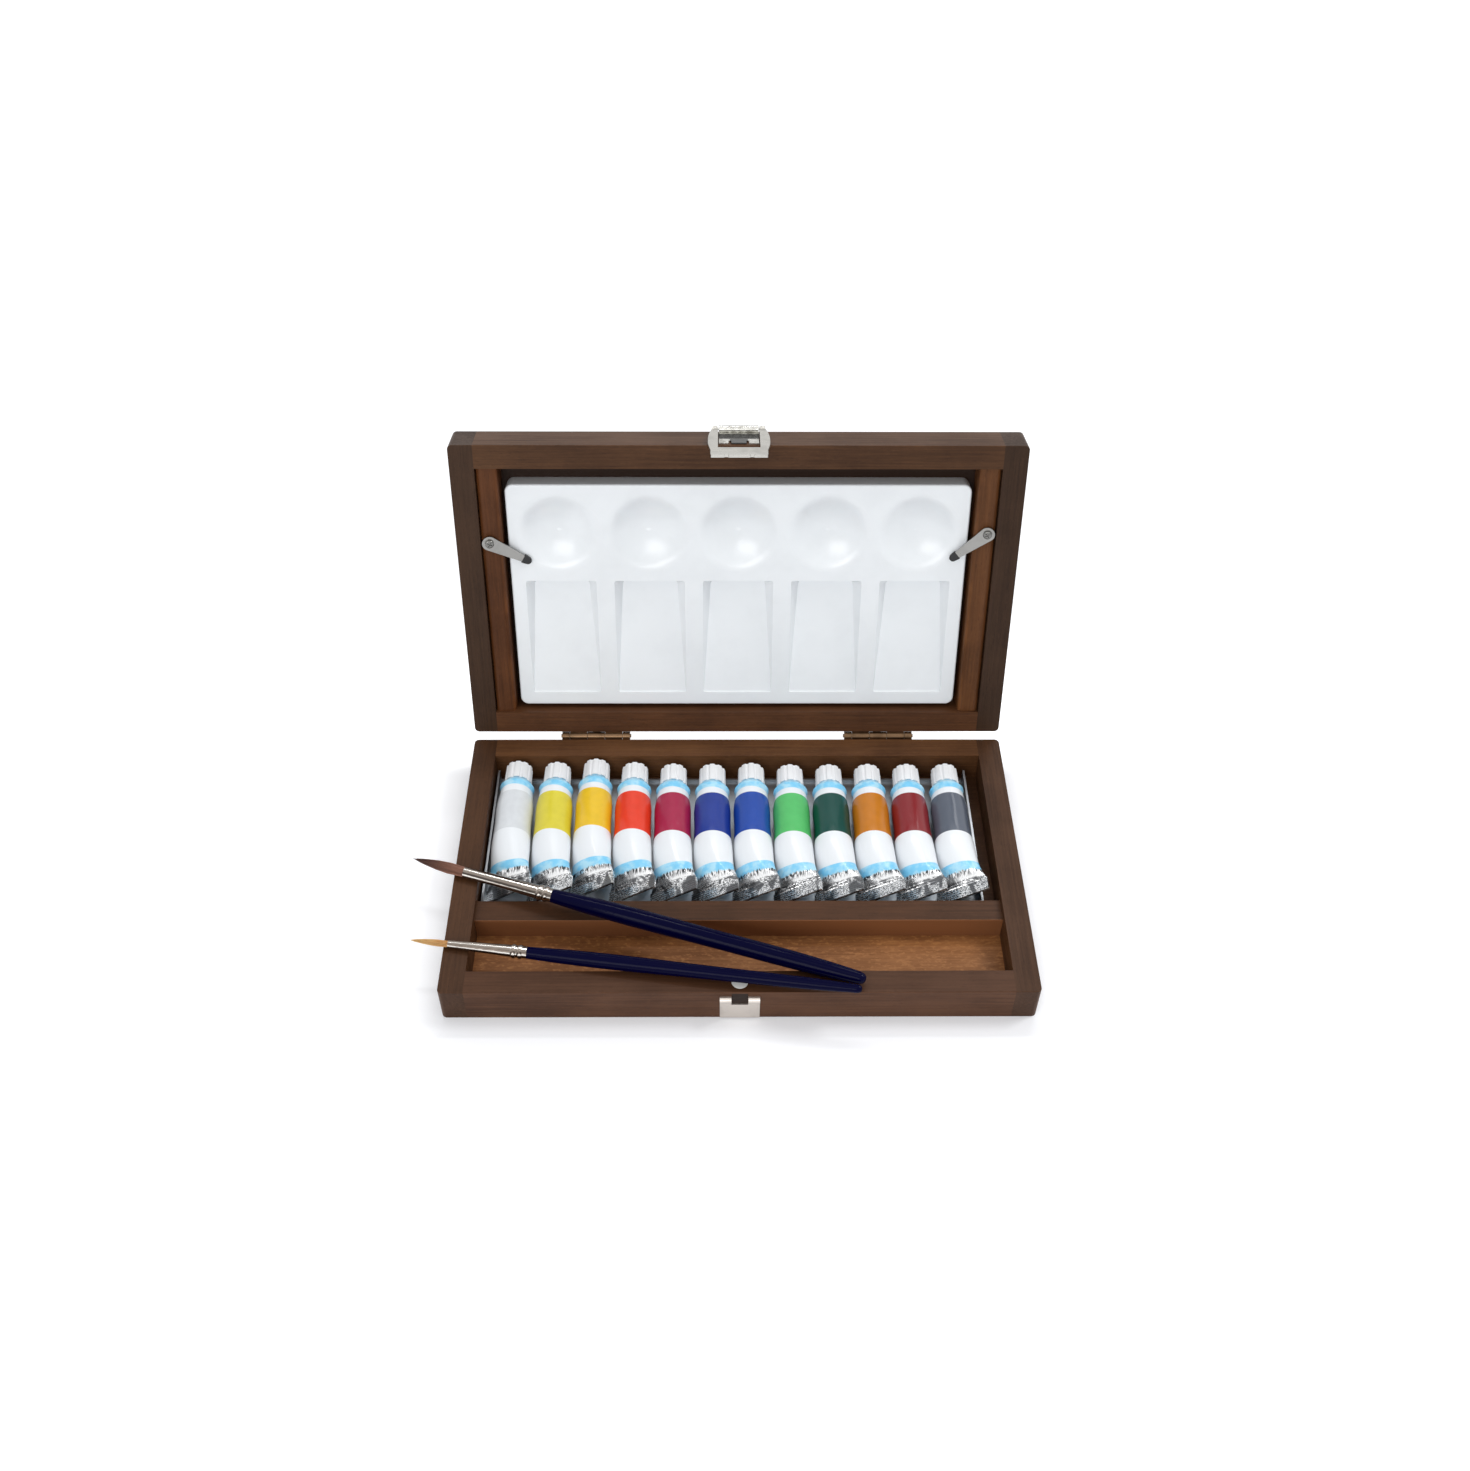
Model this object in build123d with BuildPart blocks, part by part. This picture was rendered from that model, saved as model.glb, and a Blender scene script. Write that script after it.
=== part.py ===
"""Wooden watercolour box: open lid with a mixing palette, twelve tubes of paint, two brushes.

Millimetres. +X to the right, +Y to the back (hinge side), +Z up.
The origin is the middle of the base's footprint, on the surface that the box stands on.
"""
import os
from math import asin, atan, cos, pi, radians, sin, sqrt

from build123d import *

os.makedirs("parts", exist_ok=True)

# Box
box_width = 270.0
box_depth = 155.6
base_height = 19.6
lid_height = 18.1
wall = 11.6
panel_thickness = 3.5
rabbet_width = 5.0
fit_clearance = 0.1
corner_radius = 2.3
edge_radius = 0.3
rim_gap = 0.3
running_gap = 0.3
press_clearance = 0.02
turning_clearance = 0.08

# Hinges
hinge_offset = 2.4
lid_lean = 14.3
hinge_length = 35.0
hinge_spread = 145.4
knuckle_radius = 2.0
hinge_pin_radius = 0.9
knuckle_end_length = 4.0
leaf_thickness = 1.0
leaf_height = 12.0
hinge_screw_radius = 1.0
hinge_screw_head_radius = 1.9
hinge_screw_length = 7.0
hinge_screw_spacing = 23.0
cross_width = 0.45
cross_depth = 0.6
stop_lug_reach = 4.6
stop_lug_thickness = 1.0
stop_clearance = 0.1

# Base fittings
divider_thickness = 11.6
divider_front_y = -35.0
divider_drop = 4.0
pad_radius = 3.7
pad_thickness = 1.5
pad_y = -72.0

# Tray and tubes
tube_count = 12
tube_pitch = 19.7
tube_row_x = -2.9
tube_radius = 8.65
tube_length = 69.5
crimp_roll = 32.0
tube_shifts = (2.5, 1.8, 4.0, 1.6, 0.6, 0.4, 1.0, 0.0, 0.0, 0.2, 0.2, 0.4)
crimp_y = -20.5
crimp_half_width = 13.0
crimp_offset = 1.5
crimp_thickness = 1.3
crimp_length = 5.5
shoulder_length = 3.0
shoulder_top_radius = 6.7
neck_radius = 4.0
neck_length = 8.0
cap_radius = 6.9
cap_length = 10.5
cap_flutes = 10
cap_flute_radius = 0.9
cap_bore_clearance = 0.3
tray_thickness = 1.0
tray_side_height = 9.0
tray_lip_height = 2.6
tray_back_y = 62.5

# Palette and its battens
palette_width = 221.6
palette_length = 120.5
palette_drop = 4.9
palette_centre = 76.2
palette_corner_radius = 4.0
palette_skin = 2.0
well_count = 5
well_pitch = 43.3
well_radius = 20.6
well_depth = 6.2
well_lip_radius = 8.0
well_row = 35.5
slant_width = 34.6
slant_length = 63.0
slant_row = -21.5
slant_depth = 6.0
slant_end_depth = 0.6
slant_floor_width = 26.6
slant_step = 1.2
slant_corner_radius = 1.2
slant_floor_radius = 3.4
batten_width = 10.4
batten_drop = 1.5
batten_radius = 2.6

# Turn clips
clip_rise = 1.4
clip_thickness = 0.8
clip_length = 22.5
clip_head_radius = 3.5
clip_tip_radius = 1.8
clip_tip_length = 4.2
clip_tip_root = 2.15
clip_tip_wall = 0.35
clip_screw_x = 119.2
clip_screw_radius = 1.2
clip_screw_head_radius = 2.1
clip_screw_head_height = 1.1
clip_screw_length = 7.0
clip_shoulder_radius = 1.9
clip_shoulder_length = 0.75
clip_places = {"left": (-1, 108.6, -31.0, 12.0), "right": (1, 113.5, 222.0, 12.9)}

# Catch
catch_pin_height = 2.0
catch_pin_z = 16.0
catch_pin_radius = 0.6
catch_knuckle_radius = 1.7
catch_plate_width = 18.6
catch_plate_thickness = 0.8
catch_plate_end = 1.6
catch_slot_width = 1.3
catch_slot_length = 2.6
catch_tongue_width = 7.0
hasp_width = 28.7
hasp_window = 19.5
hasp_thickness = 1.4
hasp_eye_radius = 1.5
hasp_window_end = 9.0
hasp_bar_end = 12.0
hasp_bar_height = 2.0
hasp_step_end = 13.0
hasp_lip_end = 17.4
hasp_lip_height = 1.7
hasp_end_width = 23.4
hasp_lip_width = 26.2
hasp_corner_radius = 1.6
hasp_notch_radius = 1.3
hasp_notch_x = 5.9
striker_width = 18.0
striker_bottom = 1.0
striker_top = 16.9
striker_thickness = 0.8
ear_width = 5.2
ear_reach = 2.6
ear_height = 3.2
striker_notch_z = 11.2

# Brushes: the mouth is where the hair leaves the ferrule, and they rest on the left and the front rim
large_brush = dict(
    name="large", mouth=(-129.7, -11.7), heading=-18.49, hair=28.4, ferrule=45.1, handle=150.9,
    mouth_radius=2.6, ferrule_radius=3.3, handle_radii=(4.3, 4.2, 3.55), end_radius=3.0, rest_radius=3.8,
    strands=210, belly=1.22)
small_brush = dict(
    name="small", mouth=(-132.5, -52.7), heading=-8.28, hair=19.6, ferrule=36.9, handle=151.6,
    mouth_radius=1.75, ferrule_radius=2.8, handle_radii=(3.5, 3.1, 2.4), end_radius=2.0, rest_radius=3.5,
    strands=110, belly=1.1)
handle_places = (0.18, 0.55, 0.9)
handle_end_place = 0.965
ferrule_wall = 0.3
ferrule_tenon = 9.0
ferrule_bead = 0.45
ferrule_bead_length = 2.4
ferrule_bead_spacing = 3.0
hair_belly_place = 0.35
hair_tip_spread = 0.2
hair_end_scatter = 0.18
hair_inset = 0.15
hair_fill = 0.42
hair_backing = 6.0
golden_turn = pi * (3 - sqrt(5))

# What follows from the sizes above
inner_half_width = box_width / 2 - wall
inner_half_depth = box_depth / 2 - wall
divider_top = base_height - divider_drop
hinge_y = box_depth / 2 + hinge_offset
hinge_z = base_height + rim_gap / 2
floor_top = panel_thickness
tray_floor_top = floor_top + fit_clearance + tray_thickness
tube_axis_z = tray_floor_top + running_gap + tube_radius
lid_rim = -rim_gap / 2
lid_outside = lid_rim - lid_height
lid_middle = hinge_offset + box_depth / 2
lid_face = hinge_offset + box_depth

lid_plane = Plane(
    origin=(0, hinge_y, hinge_z),
    x_dir=(1, 0, 0),
    z_dir=(0, -cos(radians(lid_lean)), sin(radians(lid_lean))),
)


def lid_point(x, y, z):
    """A point of the lid: y from the hinge axis to the free edge, z out of the lid's open side."""
    return lid_plane.from_local_coords((x, y, z))


lid_board_plane = Plane(
    origin=lid_point(0, lid_middle, lid_outside), x_dir=(1, 0, 0), z_dir=lid_plane.z_dir)
lid_side_plane = Plane(origin=lid_plane.origin, x_dir=lid_plane.z_dir, z_dir=(-1, 0, 0))
lid_face_plane = Plane(origin=lid_point(0, lid_face, 0), x_dir=(1, 0, 0), z_dir=lid_plane.y_dir)


def save(part, name):
    part.label = name
    export_step(part, f"parts/{name}.step")


def panel_block(plane, clearance):
    """The thin panel's block: it lies in a rabbet of the boards, flush with their outer faces."""
    with BuildPart() as block:
        with BuildSketch(plane):
            Rectangle(
                2 * (inner_half_width + rabbet_width - clearance),
                2 * (inner_half_depth + rabbet_width - clearance))
        extrude(amount=panel_thickness)
    return block.part


def bores(planes, radius, depth):
    """A round rod down from each plane, the shape of a bore."""
    with BuildPart() as holes:
        for plane in planes:
            with BuildSketch(plane):
                Circle(radius)
            extrude(amount=-depth)
    return holes.part


def side_board(plane, height, side):
    """A side board of the full depth, whose end grain shows at the front and the back."""
    middle = side * (box_width - wall) / 2
    panel_space = panel_block(plane, 0)
    with BuildPart() as board:
        with BuildSketch(plane):
            with Locations((middle, 0)):
                Rectangle(wall, box_depth)
        extrude(amount=height)
        upright = board.edges().filter_by(Axis(plane.origin, plane.z_dir))
        fillet(upright.filter_by(lambda edge: side * edge.center().X > abs(middle)), corner_radius)
        outside = board.edges().filter_by(Axis.X, reverse=True)
        outside = outside.filter_by(lambda edge: side * edge.center().X > abs(middle))
        fillet(outside.filter_by(Axis(plane.origin, plane.z_dir), reverse=True), edge_radius)
        add(panel_space, mode=Mode.SUBTRACT)
    return board.part


def rail(plane, height, side):
    """A rail between the side boards, at the positive or the negative end of the plane's Y."""
    middle = side * (box_depth - wall) / 2
    outer = plane.from_local_coords((0, side * box_depth / 2, 0))
    panel_space = panel_block(plane, 0)
    with BuildPart() as board:
        with BuildSketch(plane):
            with Locations((0, middle)):
                Rectangle(2 * inner_half_width, wall)
        extrude(amount=height)
        long_edges = board.edges().filter_by(Axis.X)
        near_outer = long_edges.filter_by(
            lambda edge: abs((edge.center() - outer).dot(plane.y_dir)) < wall / 2)
        fillet(near_outer, edge_radius)
        add(panel_space, mode=Mode.SUBTRACT)
    return board.part


# Hinges: both leaves have the same profile, seen along the axis from opposite ends
base_hinge_plane = Plane(origin=(0, hinge_y, hinge_z), x_dir=(0, 1, 0), z_dir=(1, 0, 0))
lid_hinge_plane = Plane(origin=lid_plane.origin, x_dir=-lid_plane.y_dir, z_dir=(-1, 0, 0))
hinge_middles = (-hinge_spread / 2, hinge_spread / 2)
screw_head_depth = hinge_screw_head_radius - hinge_screw_radius


def hinge_screw_planes(hinge_plane):
    """One plane for each hinge screw, on the outer face of a leaf, with its normal out of the wood."""
    planes = []
    for middle in hinge_middles:
        for step in (-0.5, 0.5):
            place = (leaf_thickness - hinge_offset, -0.6 * leaf_height, middle + step * hinge_screw_spacing)
            origin = hinge_plane.from_local_coords(place)
            planes.append(Plane(origin=origin, x_dir=hinge_plane.z_dir, z_dir=hinge_plane.x_dir))
    return planes


def hinge_screws(planes):
    """Countersunk wood screws with a cross recess, one for each plane."""
    with BuildPart() as screws:
        for plane in planes:
            with BuildSketch(plane):
                Circle(hinge_screw_radius)
            extrude(amount=-hinge_screw_length)
            with BuildSketch(plane):
                Circle(hinge_screw_head_radius)
            with BuildSketch(plane.offset(-screw_head_depth)):
                Circle(hinge_screw_radius)
            loft()
            with BuildSketch(plane):
                Rectangle(2 * hinge_screw_radius, cross_width)
                Rectangle(cross_width, 2 * hinge_screw_radius)
            extrude(amount=-cross_depth, mode=Mode.SUBTRACT)
    return screws.part


def knuckle_spans(first):
    """The stretches of a hinge's length that one leaf's knuckles take, measured from its middle."""
    inner_length = (hinge_length - 2 * knuckle_end_length) / 3
    bounds = [-hinge_length / 2]
    for length in (knuckle_end_length, inner_length, inner_length, inner_length, knuckle_end_length):
        bounds.append(bounds[-1] + length)
    return [(bounds[k], bounds[k + 1]) for k in range(first, 5, 2)]


def hinge_leaves(hinge_plane, first_knuckle, bore_radius):
    """The two leaves that one half of the box carries, with their knuckles and screw holes."""
    plate_outside = leaf_thickness - hinge_offset
    screw_planes = hinge_screw_planes(hinge_plane)
    screw_bores = bores(screw_planes, hinge_screw_radius, 2 * leaf_thickness)
    with BuildPart() as leaves:
        for middle in hinge_middles:
            with BuildSketch(hinge_plane.offset(middle - hinge_length / 2)):
                with BuildLine():
                    Polyline(
                        (-hinge_offset, lid_rim),
                        (-hinge_offset, -leaf_height),
                        (plate_outside, -leaf_height),
                        (plate_outside, lid_rim),
                        close=True)
                make_face()
            extrude(amount=hinge_length)
            for low, high in knuckle_spans(1 - first_knuckle):
                with BuildSketch(hinge_plane.offset(middle + low - fit_clearance)):
                    Circle(knuckle_radius + running_gap)
                extrude(amount=high - low + 2 * fit_clearance, mode=Mode.SUBTRACT)
            for low, high in knuckle_spans(first_knuckle):
                with BuildSketch(hinge_plane.offset(middle + low + fit_clearance)):
                    Circle(knuckle_radius)
                extrude(amount=high - low - 2 * fit_clearance)
            with BuildSketch(hinge_plane.offset(middle - hinge_length)):
                Circle(bore_radius)
            extrude(amount=2 * hinge_length, mode=Mode.SUBTRACT)
        for plane in screw_planes:
            with BuildSketch(plane):
                Circle(hinge_screw_head_radius)
            with BuildSketch(plane.offset(-screw_head_depth)):
                Circle(hinge_screw_radius)
            loft(mode=Mode.SUBTRACT)
        add(screw_bores, mode=Mode.SUBTRACT)
    return leaves.part


# Base
base_plane = Plane.XY
base_screw_planes = hinge_screw_planes(base_hinge_plane)
plain_back_rail = rail(base_plane, base_height, 1)
plain_front_rail = rail(base_plane, base_height, -1)
base_bores = bores(base_screw_planes, hinge_screw_radius, hinge_screw_length)
with BuildPart() as base_back_rail:
    add(plain_back_rail)
    add(base_bores, mode=Mode.SUBTRACT)
with BuildPart() as base_front_rail:
    add(plain_front_rail)
    with BuildSketch(Plane.XY.offset(base_height)):
        with Locations((0, pad_y)):
            Circle(pad_radius + fit_clearance)
    extrude(amount=-pad_thickness, mode=Mode.SUBTRACT)
save(side_board(base_plane, base_height, -1), "base_side_left")
save(side_board(base_plane, base_height, 1), "base_side_right")
save(base_front_rail.part, "base_front_rail")
save(base_back_rail.part, "base_back_rail")
save(panel_block(base_plane, fit_clearance), "base_floor")

with BuildPart() as base_divider:
    with BuildSketch(Plane.XY.offset(floor_top)):
        with Locations((0, divider_front_y + divider_thickness / 2)):
            Rectangle(2 * inner_half_width, divider_thickness)
    extrude(amount=divider_top - floor_top)
    top_edges = base_divider.faces().sort_by(Axis.Z)[-1].edges().filter_by(Axis.X)
    fillet(top_edges, edge_radius)
save(base_divider.part, "base_divider")

with BuildPart() as closing_pad:
    with BuildSketch(Plane.XY.offset(base_height - pad_thickness)):
        with Locations((0, pad_y)):
            Circle(pad_radius)
    extrude(amount=pad_thickness + fit_clearance)
    fillet(closing_pad.edges().sort_by(Axis.Z)[-1], fit_clearance)
save(closing_pad.part, "closing_pad")

# Base hinges, with a lug that meets the lid's leaf when the lid is fully open
base_knuckle_bore = hinge_pin_radius + press_clearance
lid_knuckle_bore = hinge_pin_radius + turning_clearance
base_leaves_plain = hinge_leaves(base_hinge_plane, 0, base_knuckle_bore)
stop_inner = stop_lug_reach - stop_lug_thickness
open_leaf_angle = radians(lid_lean)


def open_leaf_height(reach):
    """How high the lid's leaf stands over the hinge axis, at a distance behind it, when open."""
    plate_gap = hinge_offset - leaf_thickness
    along = (reach - plate_gap * sin(open_leaf_angle)) / cos(open_leaf_angle)
    return plate_gap * cos(open_leaf_angle) - along * sin(open_leaf_angle)


with BuildPart() as hinge_leaves_base:
    add(base_leaves_plain)
    for middle in hinge_middles:
        with BuildSketch(base_hinge_plane.offset(middle - knuckle_end_length / 2)):
            with BuildLine():
                Polyline(
                    (leaf_thickness - hinge_offset, -knuckle_radius - running_gap),
                    (leaf_thickness - hinge_offset, -knuckle_radius - running_gap - stop_lug_thickness),
                    (stop_lug_reach, -knuckle_radius - running_gap - stop_lug_thickness),
                    (stop_lug_reach, open_leaf_height(stop_lug_reach) - stop_clearance),
                    (stop_inner, open_leaf_height(stop_inner) - stop_clearance),
                    (stop_inner, -knuckle_radius - running_gap),
                    close=True)
            make_face()
        extrude(amount=knuckle_end_length)
save(hinge_leaves_base.part, "hinge_leaves_base")
save(hinge_screws(base_screw_planes), "hinge_screws_base")

with BuildPart() as hinge_pins:
    for middle in hinge_middles:
        with BuildSketch(base_hinge_plane.offset(middle - hinge_length / 2 - leaf_thickness / 2)):
            Circle(hinge_pin_radius)
        extrude(amount=hinge_length + leaf_thickness)
save(hinge_pins.part, "hinge_pins")

# Striker: a plate on the front rail, with two ears curled outward for the hasp
striker_plane = Plane(origin=(0, -box_depth / 2, 0), x_dir=(1, 0, 0), z_dir=(0, -1, 0))
striker_side_plane = Plane(origin=(0, -box_depth / 2, 0), x_dir=(0, -1, 0), z_dir=(-1, 0, 0))
ear_bottom = striker_top - ear_height
ear_curl = ear_height / 2
with BuildPart() as striker_plate:
    with BuildSketch(striker_plane):
        with Locations((0, (striker_bottom + ear_bottom) / 2)):
            Rectangle(striker_width, ear_bottom - striker_bottom)
    extrude(amount=striker_thickness)
    for side in (-1, 1):
        middle = side * (striker_width - ear_width) / 2
        with BuildSketch(striker_side_plane.offset(middle - ear_width / 2)):
            with BuildLine():
                Polyline((ear_reach - ear_curl, ear_bottom), (0, ear_bottom), (0, striker_top),
                         (ear_reach - ear_curl, striker_top))
                ThreePointArc(
                    (ear_reach - ear_curl, striker_top),
                    (ear_reach, ear_bottom + ear_curl),
                    (ear_reach - ear_curl, ear_bottom))
            make_face()
        extrude(amount=ear_width)
    with BuildSketch(striker_plane):
        with Locations((0, (striker_notch_z + striker_top) / 2)):
            Rectangle(striker_width - 2 * ear_width, striker_top - striker_notch_z)
    extrude(amount=striker_thickness, mode=Mode.SUBTRACT)
save(striker_plate.part, "striker_plate")

# Tray of thin sheet metal under the tubes
tray_inner_width = tube_count * tube_pitch + 2 * fit_clearance
tray_front_y = divider_front_y + divider_thickness + running_gap
tray_bottom = floor_top + fit_clearance
with BuildPart() as tube_tray:
    with BuildSketch(Plane.XY.offset(tray_bottom)):
        with Locations((tube_row_x, (tray_front_y + tray_back_y) / 2)):
            Rectangle(tray_inner_width + 2 * tray_thickness, tray_back_y - tray_front_y)
    extrude(amount=tray_side_height)
    with BuildSketch(Plane.XY.offset(tray_floor_top)):
        with Locations((tube_row_x, (tray_front_y + tray_back_y) / 2)):
            Rectangle(tray_inner_width, tray_back_y - tray_front_y - 2 * tray_thickness)
    extrude(amount=tray_side_height, mode=Mode.SUBTRACT)
    with BuildSketch(Plane.XY.offset(tray_bottom + tray_lip_height)):
        with Locations((tube_row_x, (tray_front_y + tray_back_y) / 2)):
            Rectangle(tray_inner_width, tray_back_y - tray_front_y)
    extrude(amount=tray_side_height, mode=Mode.SUBTRACT)
save(tube_tray.part, "tube_tray")

# Tubes: round at the shoulder, pressed flat to a crimp that rolls over its neighbour
body_end = tube_length - shoulder_length
tube_sections = (
    (crimp_length, 0.99 * crimp_half_width, 0.5 * crimp_thickness, 1),
    (0.12 * body_end, 0.95 * crimp_half_width, 0.25 * tube_radius, 0.97),
    (0.21 * body_end, 1.22 * tube_radius, 0.53 * tube_radius, 0.86),
    (0.34 * body_end, 1.14 * tube_radius, 0.74 * tube_radius, 0.62),
    (0.52 * body_end, 1.08 * tube_radius, 0.92 * tube_radius, 0.38),
    (0.72 * body_end, 1.05 * tube_radius, 0.97 * tube_radius, 0.2),
    (0.88 * body_end, tube_radius, 0.99 * tube_radius, 0),
)
cap_gap = running_gap
for number, shift in enumerate(tube_shifts, start=1):
    tube_x = tube_row_x + (number - (tube_count + 1) / 2) * tube_pitch
    tube_plane = Plane(
        origin=(tube_x, crimp_y + shift, tube_axis_z), x_dir=(-1, 0, 0), z_dir=(0, 1, 0))
    shoulder_plane = tube_plane.offset(body_end)
    neck_plane = tube_plane.offset(tube_length)
    with BuildPart() as tube:
        for place, half_width, half_height, share in tube_sections:
            with BuildSketch(tube_plane.offset(place)):
                with Locations((-crimp_offset * share**2, 0)):
                    Ellipse(half_width, half_height, rotation=-share * crimp_roll)
        with BuildSketch(shoulder_plane):
            Circle(tube_radius)
        loft()
        with BuildSketch(shoulder_plane):
            Circle(tube_radius)
        with BuildSketch(neck_plane):
            Circle(shoulder_top_radius)
        loft()
        with BuildSketch(neck_plane):
            Circle(neck_radius)
        extrude(amount=neck_length)
        with BuildSketch(tube_plane):
            with Locations((-crimp_offset, 0)):
                Rectangle(2 * crimp_half_width, crimp_thickness, rotation=-crimp_roll)
        extrude(amount=crimp_length + crimp_thickness)
    save(tube.part, f"tube_{number:02d}")

    cap_plane = neck_plane.offset(cap_gap)
    with BuildPart() as cap:
        with BuildSketch(cap_plane):
            Circle(cap_radius)
            with PolarLocations(cap_radius + cap_flute_radius / 3, cap_flutes):
                Circle(cap_flute_radius, mode=Mode.SUBTRACT)
        extrude(amount=cap_length, taper=1.5)
        with BuildSketch(cap_plane):
            Circle(neck_radius + cap_bore_clearance)
        extrude(amount=neck_length, mode=Mode.SUBTRACT)
    save(cap.part, f"cap_{number:02d}")

# Lid boards and panel; the lid's free edge is the far end of its boards' plane
lid_screw_planes = hinge_screw_planes(lid_hinge_plane)
plain_lid_rail = rail(lid_board_plane, lid_height, -1)
lid_bores = bores(lid_screw_planes, hinge_screw_radius, hinge_screw_length)
with BuildPart() as lid_back_rail:
    add(plain_lid_rail)
    add(lid_bores, mode=Mode.SUBTRACT)
save(side_board(lid_board_plane, lid_height, -1), "lid_side_left")
save(side_board(lid_board_plane, lid_height, 1), "lid_side_right")
save(rail(lid_board_plane, lid_height, 1), "lid_front_rail")
save(lid_back_rail.part, "lid_back_rail")
save(panel_block(lid_board_plane, fit_clearance), "lid_panel")
save(hinge_leaves(lid_hinge_plane, 1, lid_knuckle_bore), "hinge_leaves_lid")
save(hinge_screws(lid_screw_planes), "hinge_screws_lid")

# Palette: a moulded plate with round wells and slanting wells, hollowed behind
palette_face = lid_rim - palette_drop
palette_height = lid_height - panel_thickness - palette_drop - fit_clearance
palette_plane = Plane(
    origin=lid_point(0, palette_centre, palette_face), x_dir=(1, 0, 0), z_dir=lid_plane.z_dir)
bowl_reach = (well_radius**2 / well_depth + well_depth) / 2
bowl_radius = bowl_reach - well_lip_radius
lip_start = asin(well_radius / bowl_reach)
well_xs = [(k - (well_count - 1) / 2) * well_pitch for k in range(well_count)]
slant_top = slant_length / 2
floor_tilt = atan((slant_depth - slant_end_depth) / slant_length)
with BuildPart() as palette:
    with BuildSketch(palette_plane.offset(-palette_height)):
        RectangleRounded(palette_width, palette_length, palette_corner_radius)
    extrude(amount=palette_height)
    front_edges = palette.faces().sort_by(Axis(palette_plane.origin, palette_plane.z_dir))[-1].edges()
    fillet(front_edges, 0.5 * palette_skin)
    with BuildSketch(palette_plane.offset(-palette_height)):
        RectangleRounded(
            palette_width - 2 * palette_skin, palette_length - 2 * palette_skin,
            palette_corner_radius - 0.5 * palette_skin)
        with Locations([(x, well_row) for x in well_xs]):
            Circle(well_radius - 0.5 * palette_skin, mode=Mode.SUBTRACT)
        with Locations([(x, slant_row) for x in well_xs]):
            Rectangle(slant_width + palette_skin, slant_length + palette_skin, mode=Mode.SUBTRACT)
    extrude(amount=palette_height - palette_skin, mode=Mode.SUBTRACT)
    for well_x in well_xs:
        well_plane = Plane(
            origin=palette_plane.from_local_coords((well_x, well_row, 0)),
            x_dir=(1, 0, 0), z_dir=-palette_plane.y_dir)
        with BuildSketch(well_plane):
            with BuildLine():
                Polyline((0, -well_depth), (0, 0), (well_radius, 0))
                lip = RadiusArc(
                    (well_radius, 0),
                    (bowl_radius * sin(lip_start), bowl_radius * (1 - cos(lip_start)) - well_depth),
                    -well_lip_radius)
                RadiusArc(lip @ 1, (0, -well_depth), bowl_radius)
            make_face()
        revolve(axis=Axis(well_plane.origin, palette_plane.z_dir), mode=Mode.SUBTRACT)
        slant_plane = Plane(
            origin=palette_plane.from_local_coords((well_x, slant_row, 0)),
            x_dir=(1, 0, 0), z_dir=palette_plane.z_dir)
        floor_plane = Plane(
            origin=slant_plane.from_local_coords((0, 0, -(slant_depth + slant_end_depth) / 2)),
            x_dir=(1, 0, 0),
            z_dir=palette_plane.z_dir * cos(floor_tilt) + palette_plane.y_dir * sin(floor_tilt))
        with BuildSketch(slant_plane):
            top_outline = Rectangle(slant_width, slant_length)
            fillet(top_outline.vertices(), slant_corner_radius)
        with BuildSketch(floor_plane):
            with BuildLine():
                Polyline(
                    (-slant_floor_width / 2, slant_top - slant_step),
                    (slant_floor_width / 2, slant_top - slant_step),
                    (slant_width / 2 - slant_end_depth / 2, -slant_top + slant_end_depth / 2),
                    (-slant_width / 2 + slant_end_depth / 2, -slant_top + slant_end_depth / 2),
                    close=True)
            floor_outline = make_face()
            by_height = floor_outline.vertices().sort_by(Axis(slant_plane.origin, palette_plane.y_dir))
            fillet(by_height[2:], slant_floor_radius)
            fillet(by_height[:2], slant_corner_radius)
        loft(mode=Mode.SUBTRACT)
save(palette.part, "palette")

# Battens beside the palette, which carry the turn clips
batten_middle = inner_half_width - batten_width / 2
batten_height = lid_height - panel_thickness - batten_drop
batten_top = lid_rim - batten_drop
clip_planes = {}
clip_head_planes = []
for name, (side, along, heading, slope_angle) in clip_places.items():
    slope = radians(slope_angle)
    turn = radians(heading)
    normal = lid_plane.z_dir * cos(slope) - Vector(side * sin(slope), 0, 0)
    across = Vector(cos(slope), 0, 0) + lid_plane.z_dir * side * sin(slope)
    clip_plane = Plane(
        origin=lid_point(side * clip_screw_x, along, batten_top + clip_rise),
        x_dir=across * cos(turn) + normal.cross(across) * sin(turn),
        z_dir=normal)
    clip_planes[name] = clip_plane
    clip_head_planes.append(clip_plane.offset(clip_thickness + fit_clearance))
    with BuildPart() as batten:
        with BuildSketch(lid_board_plane.offset(panel_thickness)):
            with Locations((side * batten_middle, 0)):
                Rectangle(batten_width, 2 * inner_half_depth)
        extrude(amount=batten_height)
        top = batten.faces().sort_by(Axis(lid_plane.origin, lid_plane.z_dir))[-1]
        fillet(top.edges().filter_by(Axis(lid_plane.origin, lid_plane.y_dir)), batten_radius)
        with BuildSketch(clip_plane):
            Circle(clip_screw_radius)
        extrude(amount=-clip_screw_length, mode=Mode.SUBTRACT)
    save(batten.part, f"batten_{name}")

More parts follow.
